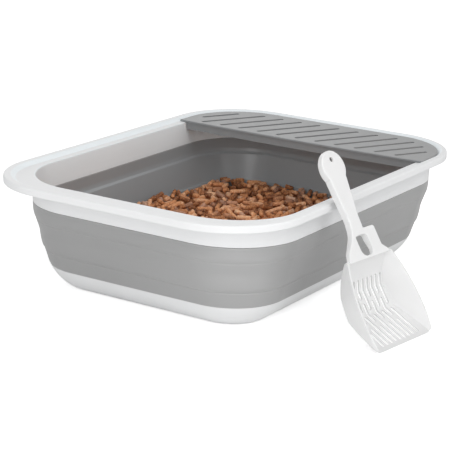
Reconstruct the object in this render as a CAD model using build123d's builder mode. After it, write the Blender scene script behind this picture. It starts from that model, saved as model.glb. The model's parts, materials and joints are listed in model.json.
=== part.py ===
"""A foldable litter box: a rigid rim and a rigid base joined by a soft folding wall, with a grille platform that
lifts out of the rim, a litter scoop that leans on it, and a bed of litter in the tray.

Millimetres, +Z up. X is the width and +Y the end with the platform. The origin lies on the floor under the
centre of the rim's outer edge. The wall is one soft moulding on the real box. It is cut here at its two living
hinges into three stiff panels, so that the fold can be followed.
"""

from build123d import *
import os
from math import atan2, cos, radians, sin, sqrt, tan

# Overall size of the opened box
box_width = 380.0
box_length = 516.0
box_height = 136.0
flange_corner_radius = 93.0

# Rim: ledges from the outer edge to the mouth, and the flange's section
side_ledge = 21.6
platform_ledge = 20.3
front_ledge = 40.0
mouth_corner_radius = 80.4
lip_height = 8.5
rim_wall = 2.4
lip_edge_radius = 2.2
recess_depth = 4.5
recess_slope_run = 4.2
side_recess_inset = 12.6
platform_recess_inset = 8.6
front_recess_inset = 14.0
mouth_edge_radius = 1.8
skirt_depth = 34.9
skirt_root_thickness = 4.6
skirt_foot_thickness = 3.4
skirt_foot_shift = 0.3

# Soft wall: three panels between the skirt and the base
soft_thickness = 2.2
upper_panel_height = 18.8
lower_panel_height = 18.8
base_top_inset = 16.0
upper_hinge_lean_share = 0.147
lower_hinge_lean_share = 0.756
panel_bulge = 1.1
panel_swell = 0.65
panel_round = 4.0
panel_step = 1.9
shoulder_height = 5.1
waist_depth = 3.7
waist_height = 20.9
hinge_groove = 0.9
hinge_gap = 0.3
hinge_lap = 1.0
key_width = 1.2
key_height = 4.0
bond_gap = 0.1

# Base tray
base_height = 26.8
foot_inset = 41.0
base_wall = 2.8
base_bulge_out_share = 0.59
base_bulge_up_share = 0.42
base_seam = 6.0

# Litter bed
litter_gap = 0.3
litter_depth = 39.3
heap_height = 6.4
heap_front_reach = 186.0
heap_slope_run = 150.0
heap_slope_steps = 6
pellet_radius = 3.2
pellet_length = 15.0
pellet_rise = 0.7
pellet_count = 230
pellet_sides = 6
pellet_inset = 31.0
pellet_turn = 99.0
spiral_turn = 137.5
corner_fullness = 4

# Grille platform
plate_thickness = 2.4
plate_gap = 0.3
plate_side_gap = 0.5
plate_edge_radius = 0.9
platform_depth = 110.0
front_edge_bow = 4.5
apron_height = 9.4
apron_thickness = 2.2
apron_setback = 1.8
rib_height = 6.0
rib_thickness = 2.0
rib_gap = 0.8
slot_count = 12
slot_row_share = 0.9855
slot_shift_share = 0.137
slot_steps = 100
slot_width = 6.2
slot_angle = 61.0
slot_front_margin = 10.5
slot_back_margin = 16.0
slot_end_margin = 14.5
stiffener_height = 4.0
stiffener_thickness = 1.8
stiffener_margin = 5.0

# Scoop: its pose beside the box, its bowl, neck and handle
scoop_gap = 0.3
scoop_tip_y = -104.6
scoop_yaw = 7.4
scoop_lean = 57.0
bowl_length = 102.0
bowl_depth = 26.5
bowl_ramp_length = 43.0
bowl_flat_end = 70.0
bowl_tip_half_width = 46.0
bowl_half_width = 53.0
bowl_top_half_width = 38.0
bowl_wall = 1.8
bowl_rim_rise = 3.0
bowl_back_depth = 3.5
bowl_back_share = 0.64
bowl_flare_angle = 21.0
bowl_corner_half_width = 49.6
bowl_corner_radius = 8.0
scoop_slot_count = 9
scoop_slot_pitch = 8.06
scoop_slot_width = 3.9
scoop_slot_ends = (5.0, 41.7, 47.0, 81.8)
scoop_short_slot_ends = (5.0, 27.6, 32.9, 56.2, 60.9, 82.0)
neck_length = 30.0
shoulder_half_width = 28.4
shoulder_radius = 3.0
neck_corner_height = 6.0
neck_foot_half_width = 35.5
neck_foot_depth = 1.0
neck_step_height = 17.0
neck_side_half_widths = (10.2, 12.2, 19.2, 30.2)
neck_side_heights = (36.0, 27.5, 18.0, 8.0)
hook_slot_width = 20.0
hook_slot_length = 24.0
hook_slot_radius = 8.5
hook_slot_top_radius = 3.0
hook_slot_height = 11.4
grip_half_width = 9.4
grip_length = 18.0
head_neck_half_width = 14.3
head_neck_height = 88.0
head_radius = 18.9
head_height = 102.2
handle_length = 121.0
handle_end_rise = 8.1
handle_foot_depth = 4.5
handle_back_depth = 2.9
handle_head_thickness = 5.7
handle_wall = 2.2
handle_edge_radius = 1.2
rest_rib_depth = 11.0
rest_rib_thickness = 2.4
rest_rib_reach = 28.0
hang_hole_radius = 3.0
hang_hole_height = 81.0
overrun = 20.0

# Sizes that follow
mouth_width = box_width - 2 * side_ledge
mouth_length = box_length - platform_ledge - front_ledge
mouth_centre = (front_ledge - platform_ledge) / 2
ledge_level = box_height - recess_depth
lip_bottom = box_height - lip_height
skirt_bottom = box_height - skirt_depth
lower_hinge = base_height + lower_panel_height
upper_hinge = skirt_bottom - upper_panel_height
wall_lean = skirt_foot_thickness + skirt_foot_shift + base_top_inset
skirt_out = skirt_foot_thickness + skirt_foot_shift
upper_hinge_out = skirt_out - wall_lean * upper_hinge_lean_share
lower_hinge_out = skirt_out - wall_lean * lower_hinge_lean_share
hinge_thickness = soft_thickness - panel_bulge
recess_width = box_width - 2 * side_recess_inset
recess_length = box_length - platform_recess_inset - front_recess_inset
recess_centre = (front_recess_inset - platform_recess_inset) / 2
recess_radius = flange_corner_radius - side_recess_inset
plate_level = ledge_level + plate_gap
plate_back = box_length / 2 - platform_recess_inset - plate_side_gap
plate_front = plate_back - platform_depth

# The scoop's front edge stands where the rib behind its handle just clears the rim's rounded edge
yaw, lean = radians(scoop_yaw), radians(scoop_lean)
rim_edge_x = box_width / 2 - lip_edge_radius * (1 - sin(lean))
rim_edge_z = box_height - lip_edge_radius * (1 - cos(lean))
scoop_reach = rim_edge_z / tan(lean) + rest_rib_depth / sin(lean)
scoop_corner = rest_rib_thickness / 2 * sin(yaw)
scoop_tip_x = rim_edge_x + scoop_reach * cos(yaw) + scoop_corner + scoop_gap

# Every section of the rim's skirt, the wall and the base is drawn in this plane: x is the distance outside the
# mouth's outline, y the height. Each one is swept round that outline.
section_plane = Plane(
    origin=(mouth_width / 2, mouth_centre, 0), x_dir=(1, 0, 0), z_dir=(0, -1, 0)
)


def outline(width, length, radius, centre, level):
    """A rounded rectangle at a height, with its centre moved along Y."""
    with BuildSketch(Plane.XY.offset(level)) as shape:
        with Locations((0, centre)):
            RectangleRounded(width, length, radius)
    return shape.sketch


def mouth_outline(out, level):
    """The mouth's outline, moved outwards by a distance, at a height."""
    return outline(
        mouth_width + 2 * out, mouth_length + 2 * out, mouth_corner_radius + out, mouth_centre, level
    )


def recess_outline(out, level):
    """The outline of the recess in the flange, moved outwards by a distance, at a height."""
    return outline(
        recess_width + 2 * out, recess_length + 2 * out, recess_radius + out, recess_centre, level
    )


def mouth_path():
    """The closed path round the mouth, starting where the section plane stands."""
    side, radius = mouth_width / 2, mouth_corner_radius
    back, front = mouth_centre + mouth_length / 2, mouth_centre - mouth_length / 2
    with BuildLine() as path:
        Line((side, mouth_centre), (side, back - radius))
        TangentArc((side, back - radius), (side - radius, back), tangent=(0, 1))
        Line((side - radius, back), (radius - side, back))
        TangentArc((radius - side, back), (-side, back - radius), tangent=(-1, 0))
        Line((-side, back - radius), (-side, front + radius))
        TangentArc((-side, front + radius), (radius - side, front), tangent=(0, -1))
        Line((radius - side, front), (side - radius, front))
        TangentArc((side - radius, front), (side, front + radius), tangent=(1, 0))
        Line((side, front + radius), (side, mouth_centre))
    return path.wire()


around_mouth = mouth_path()


# Rim frame: the flange with its turned-down lip and sunk ledge, and the skirt that the soft wall hangs from
with BuildPart() as rim_frame:
    add(outline(box_width, box_length, flange_corner_radius, 0, lip_bottom))
    extrude(amount=lip_height)
    fillet(rim_frame.faces().sort_by(Axis.Z)[-1].outer_wire().edges(), radius=lip_edge_radius)
    floor_cut = recess_outline(0, ledge_level)
    top_cut = recess_outline(recess_slope_run, box_height)
    loft([floor_cut.face(), top_cut.face()], ruled=True, mode=Mode.SUBTRACT)
    # The underside is hollow, as on a moulding: a shallow pan, and a channel under the raised outer band
    add(
        outline(
            box_width - 2 * rim_wall,
            box_length - 2 * rim_wall,
            flange_corner_radius - rim_wall,
            0,
            lip_bottom,
        )
    )
    extrude(amount=lip_height - recess_depth - rim_wall, mode=Mode.SUBTRACT)
    with BuildSketch(Plane.XY.offset(lip_bottom)):
        RectangleRounded(
            box_width - 2 * rim_wall, box_length - 2 * rim_wall, flange_corner_radius - rim_wall
        )
        with Locations((0, recess_centre)):
            RectangleRounded(
                recess_width + 2 * recess_slope_run,
                recess_length + 2 * recess_slope_run,
                recess_radius + recess_slope_run,
                mode=Mode.SUBTRACT,
            )
    extrude(amount=lip_height - rim_wall, mode=Mode.SUBTRACT)
    add(mouth_outline(0, lip_bottom))
    extrude(amount=lip_height, mode=Mode.SUBTRACT)
    with BuildSketch(section_plane):
        with BuildLine():
            Polyline(
                (0, ledge_level),
                (skirt_root_thickness, ledge_level),
                (skirt_out, skirt_bottom),
                (skirt_foot_shift, skirt_bottom),
                (0, ledge_level),
            )
        make_face()
        # Groove for the soft wall's key
        with Locations((skirt_foot_shift + skirt_foot_thickness / 2, skirt_bottom)):
            Rectangle(key_width + 2 * bond_gap, 2 * (key_height + bond_gap), mode=Mode.SUBTRACT)
    sweep(path=around_mouth)
    mouth_edges = (
        rim_frame.edges()
        .filter_by_position(Axis.Z, ledge_level, ledge_level)
        .filter_by(lambda e: abs(e.center().X) < mouth_width / 2 + bond_gap)
        .filter_by(lambda e: abs(e.center().Y - mouth_centre) < mouth_length / 2 + bond_gap)
    )
    fillet(mouth_edges, radius=mouth_edge_radius)
rim_frame.part.label = "rim_frame"


# Upper panel: hangs from the skirt, keyed into its foot, and thins to the soft wall's own thickness
upper_swell_out = (skirt_out + upper_hinge_out + panel_bulge) / 2 + panel_swell
with BuildPart() as wall_upper_panel:
    with BuildSketch(section_plane):
        with BuildLine():
            Line((skirt_foot_shift, skirt_bottom - bond_gap), (skirt_out, skirt_bottom - bond_gap))
            ThreePointArc(
                (skirt_out, skirt_bottom - bond_gap),
                (upper_swell_out, (skirt_bottom + upper_hinge + panel_round) / 2),
                (upper_hinge_out + panel_bulge, upper_hinge + panel_round),
            )
            Polyline(
                (upper_hinge_out + panel_bulge, upper_hinge + panel_round),
                (upper_hinge_out, upper_hinge + hinge_groove),
                (upper_hinge_out, upper_hinge),
                (upper_hinge_out - hinge_thickness, upper_hinge),
                (upper_hinge_out - hinge_thickness, upper_hinge + panel_round),
                (skirt_foot_shift, skirt_bottom - panel_round),
                (skirt_foot_shift, skirt_bottom - bond_gap),
            )
        make_face()
        with Locations((skirt_foot_shift + skirt_foot_thickness / 2, skirt_bottom)):
            Rectangle(key_width, 2 * key_height)
    sweep(path=around_mouth)
wall_upper_panel.part.label = "wall_upper_panel"


# Middle panel: the one that turns over as the box folds. It is drawn in to a waist, swells below it, and is rounded
# in at its foot. Its top laps inside the upper panel and its foot outside the lower one, so that it slides past both.
middle_top = upper_hinge + hinge_lap
middle_foot = lower_hinge - hinge_lap
middle_top_out = upper_hinge_out - hinge_thickness - hinge_gap
middle_foot_out = lower_hinge_out + hinge_gap + hinge_thickness
middle_shoulder = middle_top - shoulder_height
waist_out = middle_top_out - waist_depth
waist = lower_hinge + waist_height
middle_round_out = middle_foot_out + panel_step
middle_round = middle_foot + panel_round
middle_swell_out = (waist_out + middle_round_out) / 2 + panel_swell
middle_swell = (waist + middle_round) / 2
with BuildPart() as wall_middle_panel:
    with BuildSketch(section_plane):
        with BuildLine():
            Polyline(
                (middle_top_out - hinge_thickness, middle_top),
                (middle_top_out, middle_top),
                (middle_top_out, middle_shoulder),
                (waist_out, waist),
            )
            ThreePointArc(
                (waist_out, waist), (middle_swell_out, middle_swell), (middle_round_out, middle_round)
            )
            Polyline(
                (middle_round_out, middle_round),
                (middle_foot_out, middle_foot + hinge_groove),
                (middle_foot_out, middle_foot),
                (middle_foot_out - hinge_thickness, middle_foot),
                (middle_round_out - soft_thickness, middle_round),
            )
            ThreePointArc(
                (middle_round_out - soft_thickness, middle_round),
                (middle_swell_out - soft_thickness, middle_swell),
                (waist_out - soft_thickness, waist),
            )
            Polyline(
                (waist_out - soft_thickness, waist),
                (middle_top_out - soft_thickness, middle_shoulder),
                (middle_top_out - hinge_thickness, middle_top),
            )
        make_face()
    sweep(path=around_mouth)
wall_middle_panel.part.label = "wall_middle_panel"


# Lower panel: stands on the base, with a groove that takes the base's key
lower_swell_out = (lower_hinge_out - base_top_inset) / 2 + panel_swell
with BuildPart() as wall_lower_panel:
    with BuildSketch(section_plane):
        with BuildLine():
            Line((lower_hinge_out - hinge_thickness, lower_hinge), (lower_hinge_out, lower_hinge))
            ThreePointArc(
                (lower_hinge_out, lower_hinge),
                (lower_swell_out, (lower_hinge + base_height) / 2),
                (-base_top_inset, base_height + bond_gap),
            )
            Polyline(
                (-base_top_inset, base_height + bond_gap),
                (-base_top_inset - base_wall, base_height + bond_gap),
                (-base_top_inset - base_wall, base_height + key_height),
                (lower_hinge_out - soft_thickness, lower_hinge - panel_step),
                (lower_hinge_out - hinge_thickness, lower_hinge),
            )
        make_face()
        with Locations((-base_top_inset - base_wall / 2, base_height)):
            Rectangle(key_width + 2 * bond_gap, 2 * (key_height + bond_gap), mode=Mode.SUBTRACT)
    sweep(path=around_mouth)
wall_lower_panel.part.label = "wall_lower_panel"


# Base tray: a flat floor with a full, rounded side, keyed into the soft wall at the top
inner_foot_out = -foot_inset - base_wall / 2
inner_top_out = -base_top_inset - base_wall
base_bulge_out = -foot_inset + (foot_inset - base_top_inset) * base_bulge_out_share
base_bulge_up = base_height * base_bulge_up_share
inner_bulge_out = inner_foot_out + (inner_top_out - inner_foot_out) * base_bulge_out_share
inner_bulge_up = base_wall + (base_height - base_wall) * base_bulge_up_share
with BuildPart() as base_tray:
    add(mouth_outline(-foot_inset - base_seam / 2, 0))
    extrude(amount=base_wall)
    with BuildSketch(section_plane):
        with BuildLine():
            ThreePointArc((-foot_inset, 0), (base_bulge_out, base_bulge_up), (-base_top_inset, base_height))
            Line((-base_top_inset, base_height), (inner_top_out, base_height))
            ThreePointArc(
                (inner_top_out, base_height), (inner_bulge_out, inner_bulge_up), (inner_foot_out, base_wall)
            )
            Polyline(
                (inner_foot_out, base_wall),
                (-foot_inset - base_seam, base_wall),
                (-foot_inset - base_seam, 0),
                (-foot_inset, 0),
            )
        make_face()
        with Locations((-base_top_inset - base_wall / 2, base_height)):
            Rectangle(key_width, 2 * key_height)
    sweep(path=around_mouth)
base_tray.part.label = "base_tray"


# Litter bed: loose wood pellets that fill the tray to its walls, level and lower under the platform, and heaped in
# front of it. Those on top lie half sunk and every way round.
litter_back_level = base_wall + litter_depth
litter_front = mouth_centre - mouth_length / 2
heap_foot = litter_front + heap_front_reach + heap_slope_run


def litter_level(y):
    """The height of the packed litter at a place along the box."""
    way = min(1, max(0, (heap_foot - y) / heap_slope_run))
    return litter_back_level + heap_height * way * way * (3 - 2 * way)


def pellet_places():
    """Where the pellets on top lie: a spiral that spreads them evenly, filled out towards the corners."""
    places = []
    for index in range(pellet_count):
        turn = radians(index * spiral_turn)
        reach = sqrt((index + 1) / pellet_count)
        full = (abs(cos(turn)) ** corner_fullness + abs(sin(turn)) ** corner_fullness) ** (-1 / corner_fullness)
        x = (mouth_width / 2 - pellet_inset) * reach * full * cos(turn)
        y = mouth_centre + (mouth_length / 2 - pellet_inset) * reach * full * sin(turn)
        places.append(Location((x, y, litter_level(y) + pellet_rise), (0, 0, index * pellet_turn)))
    return places


with BuildPart() as litter_bed:
    litter_edge_out = lower_hinge_out - soft_thickness - litter_gap
    litter_ceiling = litter_back_level + heap_height
    add(mouth_outline(litter_edge_out, base_wall + litter_gap))
    extrude(amount=litter_ceiling - base_wall - litter_gap)
    # The tray's own inside shape, a gap smaller
    with BuildSketch(section_plane):
        with BuildLine():
            Polyline(
                (inner_foot_out - litter_gap, base_wall),
                (0, base_wall),
                (0, litter_ceiling + overrun),
                (litter_edge_out, litter_ceiling + overrun),
                (litter_edge_out, lower_hinge),
                (inner_top_out - litter_gap, base_height + key_height),
                (inner_top_out - litter_gap, base_height),
            )
            ThreePointArc(
                (inner_top_out - litter_gap, base_height),
                (inner_bulge_out - litter_gap, inner_bulge_up + litter_gap),
                (inner_foot_out - litter_gap, base_wall),
            )
        make_face()
    sweep(path=around_mouth, mode=Mode.SUBTRACT)
    # The litter's top, seen from the side, where x runs along the box
    with BuildSketch(Plane.YZ):
        with BuildLine():
            steps = [heap_foot - heap_slope_run * step / heap_slope_steps for step in range(heap_slope_steps + 1)]
            Spline([(y, litter_level(y)) for y in steps], tangents=[(-1, 0), (-1, 0)])
            Polyline(
                (steps[-1], litter_ceiling),
                (-box_length / 2, litter_ceiling),
                (-box_length / 2, 0),
                (box_length / 2, 0),
                (box_length / 2, litter_back_level),
                (heap_foot, litter_back_level),
            )
        make_face()
    extrude(amount=box_width / 2, both=True, mode=Mode.INTERSECT)
    with BuildSketch(Plane.YZ.offset(-pellet_length / 2), mode=Mode.PRIVATE) as pellet_end:
        RegularPolygon(pellet_radius, pellet_sides)
    pellet = extrude(pellet_end.sketch, amount=pellet_length, mode=Mode.PRIVATE)
    with Locations(*pellet_places()):
        add(pellet)
litter_bed.part.label = "litter_bed"


# Grille platform: a plate that lies in the flange's recess, with an apron under its bowed front edge, a rib that
# locates it inside the mouth, and twelve slanted slots for the litter to fall through
plate_half_width = recess_width / 2 - plate_side_gap
corner_radius = recess_radius - plate_side_gap
slot_back = plate_back - slot_back_margin
slot_front = plate_front + slot_front_margin
slot_middle = (slot_front + slot_back) / 2
slot_lean = 1 / tan(radians(slot_angle))
corner_x = plate_half_width - corner_radius
corner_y = plate_back - corner_radius
slot_reach = corner_radius - slot_end_margin
row_half_width = corner_x + sqrt(slot_reach**2 - max(0, slot_middle - corner_y) ** 2)
slot_pitch = 2 * row_half_width * slot_row_share / (slot_count - 1)
slot_row_shift = slot_pitch * slot_shift_share


def platform_zone(setback):
    """The plan area behind the bowed front edge, moved back by a distance."""
    reach = box_width / 2
    front = plate_front + setback
    with BuildSketch(Plane.XY.offset(plate_level)) as zone:
        with BuildLine():
            ThreePointArc((-reach, front + front_edge_bow), (0, front), (reach, front + front_edge_bow))
            Polyline(
                (reach, front + front_edge_bow),
                (reach, box_length / 2),
                (-reach, box_length / 2),
                (-reach, front + front_edge_bow),
            )
        make_face()
    return zone.sketch


def slot_ends(place):
    """Both ends of a slot's middle line, whose middle depth crosses a place along X.

    The line stops at the front and back margins, and at the plate's side and rounded corner less a margin.
    """
    ends = []
    for limit in (slot_front, slot_back):
        inside = limit
        for step in range(slot_steps + 1):
            y = limit + (slot_middle - limit) * step / slot_steps
            x = abs(place + (y - slot_middle) * slot_lean)
            past_x = max(0, x - corner_x)
            past_y = max(0, y - corner_y)
            inside = y
            if sqrt(past_x**2 + past_y**2) <= slot_reach:
                break
        ends.append((place + (inside - slot_middle) * slot_lean, inside))
    return ends


with BuildPart() as grille_platform:
    with BuildSketch(Plane.XY.offset(plate_level)):
        add(recess_outline(-plate_side_gap, plate_level))
        add(platform_zone(0), mode=Mode.INTERSECT)
    extrude(amount=plate_thickness)
    fillet(grille_platform.faces().sort_by(Axis.Z)[-1].outer_wire().edges(), radius=plate_edge_radius)
    # The rib inside the mouth, and the deeper apron behind the front edge
    with BuildSketch(Plane.XY.offset(plate_level)):
        add(mouth_outline(-rib_gap - mouth_edge_radius / 2, plate_level))
        add(mouth_outline(-rib_gap - mouth_edge_radius / 2 - rib_thickness, plate_level), mode=Mode.SUBTRACT)
        add(platform_zone(apron_setback), mode=Mode.INTERSECT)
    extrude(amount=-rib_height)
    with BuildSketch(Plane.XY.offset(plate_level)):
        add(mouth_outline(-rib_gap - mouth_edge_radius / 2, plate_level))
        add(platform_zone(apron_setback), mode=Mode.INTERSECT)
        add(platform_zone(apron_setback + apron_thickness), mode=Mode.SUBTRACT)
    extrude(amount=-apron_height)
    # Stiffeners run under the bars, between the slots
    for index in range(slot_count - 1):
        place = (index + 1 - slot_count / 2) * slot_pitch + slot_row_shift
        (x0, y0), (x1, y1) = slot_ends(place)
        with BuildSketch(Plane.XY.offset(plate_level)):
            with Locations(((x0 + x1) / 2, (y0 + y1) / 2)):
                Rectangle(
                    sqrt((x1 - x0) ** 2 + (y1 - y0) ** 2) - stiffener_margin,
                    stiffener_thickness,
                    rotation=slot_angle,
                )
        extrude(amount=-stiffener_height)
    for index in range(slot_count):
        place = (index - (slot_count - 1) / 2) * slot_pitch + slot_row_shift
        (x0, y0), (x1, y1) = slot_ends(place)
        with BuildSketch(Plane.XY.offset(plate_level)):
            with Locations(((x0 + x1) / 2, (y0 + y1) / 2)):
                SlotOverall(sqrt((x1 - x0) ** 2 + (y1 - y0) ** 2), slot_width, rotation=slot_angle)
        extrude(amount=plate_thickness, mode=Mode.SUBTRACT)
grille_platform.part.label = "grille_platform"


# Scoop. Its two planes start at the middle of its front edge. In the front plane x runs across the bowl and y
# along the scoop, and z points out of the bowl. In the side plane x runs along the scoop and y out of the bowl.
scoop_origin = (scoop_tip_x, scoop_tip_y, 0)
across = Vector(sin(yaw), cos(yaw), 0)
along = Vector(-cos(yaw) * cos(lean), sin(yaw) * cos(lean), sin(lean))
out_of_bowl = along.cross(across) * -1
front_plane = Plane(origin=scoop_origin, x_dir=across, z_dir=out_of_bowl)
side_plane = Plane(origin=scoop_origin, x_dir=along, z_dir=across)


def bowl_block(wall, lift):
    """The bowl's outer form less a wall: its side profile cut to the flared plan outline."""
    half_length = bowl_length / 2
    with BuildPart() as block:
        with BuildSketch(side_plane):
            with BuildLine():
                Polyline(
                    (-lift, bowl_rim_rise + lift),
                    (-lift, lift),
                    (bowl_ramp_length, -bowl_depth + lift),
                    (bowl_flat_end, -bowl_depth + lift),
                )
                ThreePointArc(
                    (bowl_flat_end, -bowl_depth + lift),
                    (
                        bowl_flat_end + (bowl_length - bowl_flat_end) * bowl_back_share - lift,
                        -bowl_back_depth - (bowl_depth - bowl_back_depth) / 2 + lift,
                    ),
                    (bowl_length - lift, -bowl_back_depth + lift),
                )
                Polyline(
                    (bowl_length - lift, -bowl_back_depth + lift),
                    (bowl_length - lift, 0),
                    (bowl_length - bowl_back_depth, bowl_rim_rise + lift),
                    (-lift, bowl_rim_rise + lift),
                )
            make_face()
        extrude(amount=bowl_half_width + overrun, both=True)
        with BuildSketch(front_plane.offset(bowl_rim_rise + wall)):
            with BuildLine():
                ThreePointArc(
                    (bowl_tip_half_width - wall, -overrun),
                    (bowl_half_width - wall, half_length),
                    (bowl_top_half_width - wall, bowl_length + bowl_back_depth),
                )
                Line(
                    (bowl_top_half_width - wall, bowl_length + bowl_back_depth),
                    (wall - bowl_top_half_width, bowl_length + bowl_back_depth),
                )
                ThreePointArc(
                    (wall - bowl_top_half_width, bowl_length + bowl_back_depth),
                    (wall - bowl_half_width, half_length),
                    (wall - bowl_tip_half_width, -overrun),
                )
                Line((wall - bowl_tip_half_width, -overrun), (bowl_tip_half_width - wall, -overrun))
            make_face()
        extrude(amount=-bowl_depth - overrun, taper=bowl_flare_angle, mode=Mode.INTERSECT)
    return block.part


# Above the neck the handle's front face rises away from the bowl's front plane. This plane lies in it.
bend = bowl_length + neck_length
tilt = atan2(handle_end_rise - bowl_rim_rise, handle_length - neck_length)
handle_plane = Plane(
    origin=scoop_origin + along * bend + out_of_bowl * bowl_rim_rise,
    x_dir=across,
    z_dir=out_of_bowl * cos(tilt) - along * sin(tilt),
)


def handle_outline(inset, foot):
    """The front outline of the neck and handle above a foot, less an inset."""
    corner = bowl_length + neck_corner_height
    shoulder = shoulder_half_width - inset
    with BuildSketch(front_plane.offset(overrun)) as shape:
        with BuildLine():
            sides = zip(neck_side_half_widths, neck_side_heights)
            left = [(inset - half_width, bowl_length + height) for half_width, height in sides]
            Polyline(
                (0, bowl_length + head_height),
                (inset - head_neck_half_width, bowl_length + head_height),
                (inset - head_neck_half_width, bowl_length + head_neck_height),
                (inset - grip_half_width, bend + grip_length),
                (inset - grip_half_width, bend + grip_length / 2),
                left[0],
            )
            Spline(left)
            Polyline(
                left[-1],
                (inset - neck_foot_half_width, bowl_length),
                (inset - neck_foot_half_width, bowl_length - bowl_back_depth),
                (neck_foot_half_width - inset, bowl_length - bowl_back_depth),
                (neck_foot_half_width - inset, bowl_length),
                (shoulder, corner),
                (shoulder, bend - inset - shoulder_radius),
            )
            RadiusArc(
                (shoulder, bend - inset - shoulder_radius),
                (shoulder - shoulder_radius, bend - inset),
                -shoulder_radius,
            )
            Polyline(
                (shoulder - shoulder_radius, bend - inset),
                (grip_half_width - inset, bend - inset),
                (grip_half_width - inset, bend + grip_length),
                (head_neck_half_width - inset, bowl_length + head_neck_height),
                (head_neck_half_width - inset, bowl_length + head_height),
                (0, bowl_length + head_height),
            )
        make_face()
        with Locations((0, bowl_length + head_height)):
            Circle(head_radius - inset)
        with Locations((0, foot)):
            Rectangle(
                2 * bowl_half_width,
                2 * handle_length,
                align=(Align.CENTER, Align.MIN),
                mode=Mode.INTERSECT,
            )
    return shape.sketch


def handle_block(wall, open_depth):
    """The neck and handle less a wall, with their back lowered: a side profile cut to the front outline."""
    start, end = bowl_length - bowl_back_depth, bowl_length + handle_length
    step = bowl_length + neck_step_height
    with BuildPart() as block:
        with BuildSketch(side_plane):
            with BuildLine():
                Polyline(
                    (step, -handle_foot_depth - open_depth),
                    (bowl_length, -neck_foot_depth - open_depth),
                    (start, -neck_foot_depth - open_depth),
                    (start, bowl_rim_rise - wall),
                    (bend, bowl_rim_rise - wall),
                    (end, handle_end_rise - wall),
                    (end, handle_end_rise - handle_head_thickness - open_depth),
                )
                ThreePointArc(
                    (end, handle_end_rise - handle_head_thickness - open_depth),
                    ((step + end) / 2, -handle_back_depth - open_depth),
                    (step, -handle_foot_depth - open_depth),
                )
            make_face()
        extrude(amount=bowl_half_width, both=True)
        foot = bend + wall if wall > 0 else start
        extrude(handle_outline(wall, foot), amount=-3 * overrun, mode=Mode.INTERSECT)
    return block.part


def hook_slot_outline():
    """The hook's slot in the neck: nearly square at the top and round at the foot."""
    with BuildSketch(front_plane.offset(overrun)) as shape:
        with Locations((0, bowl_length + hook_slot_height)):
            Rectangle(hook_slot_width, hook_slot_length)
        fillet(shape.vertices().group_by(Axis.Y)[-1], radius=hook_slot_top_radius)
        fillet(shape.vertices().group_by(Axis.Y)[0], radius=hook_slot_radius)
    return shape.sketch


def rounded_tip_outline():
    """An area that holds the whole scoop but for the corners of its tip."""
    end = bowl_length + handle_length
    with BuildSketch(front_plane.offset(overrun)) as shape:
        with BuildLine():
            Polyline(
                (-bowl_corner_half_width, 0),
                (bowl_corner_half_width, 0),
                (bowl_corner_half_width + overrun, bowl_length),
                (bowl_corner_half_width + overrun, end),
                (-bowl_corner_half_width - overrun, end),
                (-bowl_corner_half_width - overrun, bowl_length),
                (-bowl_corner_half_width, 0),
            )
        make_face()
        fillet(shape.vertices().group_by(Axis.Y)[0], radius=bowl_corner_radius)
    return shape.sketch


with BuildPart() as litter_scoop:
    add(handle_block(0, 0))
    front_edges = [
        edge
        for edge in litter_scoop.edges()
        if front_plane.to_local_coords(edge.center()).Y > bowl_length + neck_corner_height
        and (
            abs(handle_plane.to_local_coords(edge.center()).Z) < bond_gap
            or abs(front_plane.to_local_coords(edge.center()).Z - bowl_rim_rise) < bond_gap
        )
        and abs(front_plane.to_local_coords(edge.center()).Y - bend) > bond_gap
    ]
    fillet(front_edges, radius=handle_edge_radius)
    add(bowl_block(0, 0))
    add(bowl_block(bowl_wall, bowl_wall), mode=Mode.SUBTRACT)
    # The handle is hollow from behind, with a rib down its middle that rests on the rim
    add(handle_block(handle_wall, overrun), mode=Mode.SUBTRACT)
    rest = (rim_edge_z + rest_rib_depth * cos(lean)) / sin(lean)
    with BuildSketch(side_plane):
        with BuildLine():
            ThreePointArc(
                (rest - rest_rib_reach, bowl_rim_rise - handle_wall),
                (rest, -rest_rib_depth),
                (rest + rest_rib_reach, bowl_rim_rise - handle_wall),
            )
            Polyline(
                (rest + rest_rib_reach, bowl_rim_rise - handle_wall),
                (rest + rest_rib_reach, bowl_rim_rise),
                (rest - rest_rib_reach, bowl_rim_rise),
                (rest - rest_rib_reach, bowl_rim_rise - handle_wall),
            )
        make_face()
    extrude(amount=rest_rib_thickness / 2, both=True)
    # The hook's slot through the neck, and the hole that the scoop hangs from
    extrude(hook_slot_outline(), amount=-3 * overrun, mode=Mode.SUBTRACT)
    with BuildSketch(handle_plane.offset(overrun)):
        with Locations((0, hang_hole_height)):
            Circle(hang_hole_radius)
    extrude(amount=-2 * overrun, mode=Mode.SUBTRACT)
    # Sifting slots, in long and short rows by turns
    with BuildSketch(front_plane):
        for column in range(scoop_slot_count):
            ends = scoop_short_slot_ends if column % 2 else scoop_slot_ends
            offset_across = (column - (scoop_slot_count - 1) / 2) * scoop_slot_pitch
            for low, high in zip(ends[0::2], ends[1::2]):
                with Locations((offset_across, (low + high) / 2)):
                    SlotOverall(high - low, scoop_slot_width, rotation=90)
    extrude(amount=-bowl_depth - overrun, mode=Mode.SUBTRACT)
    extrude(rounded_tip_outline(), amount=-3 * overrun, mode=Mode.INTERSECT)
litter_scoop.part.label = "litter_scoop"


os.makedirs("parts", exist_ok=True)
for piece in (
    rim_frame,
    wall_upper_panel,
    wall_middle_panel,
    wall_lower_panel,
    base_tray,
    litter_bed,
    grille_platform,
    litter_scoop,
):
    export_step(piece.part, f"parts/{piece.part.label}.step")
    print(piece.part.label, len(piece.part.solids()), round(piece.part.volume / 1000, 1))
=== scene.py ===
"""Looks of the foldable litter box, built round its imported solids.

The classes of the box hold their sizes in millimetres, in the frame of the solids: +Z up, +Y
towards the end with the grille platform, and the origin on the floor under the centre of the rim.
Meshes, the lamps and the camera are in metres.
"""

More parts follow.
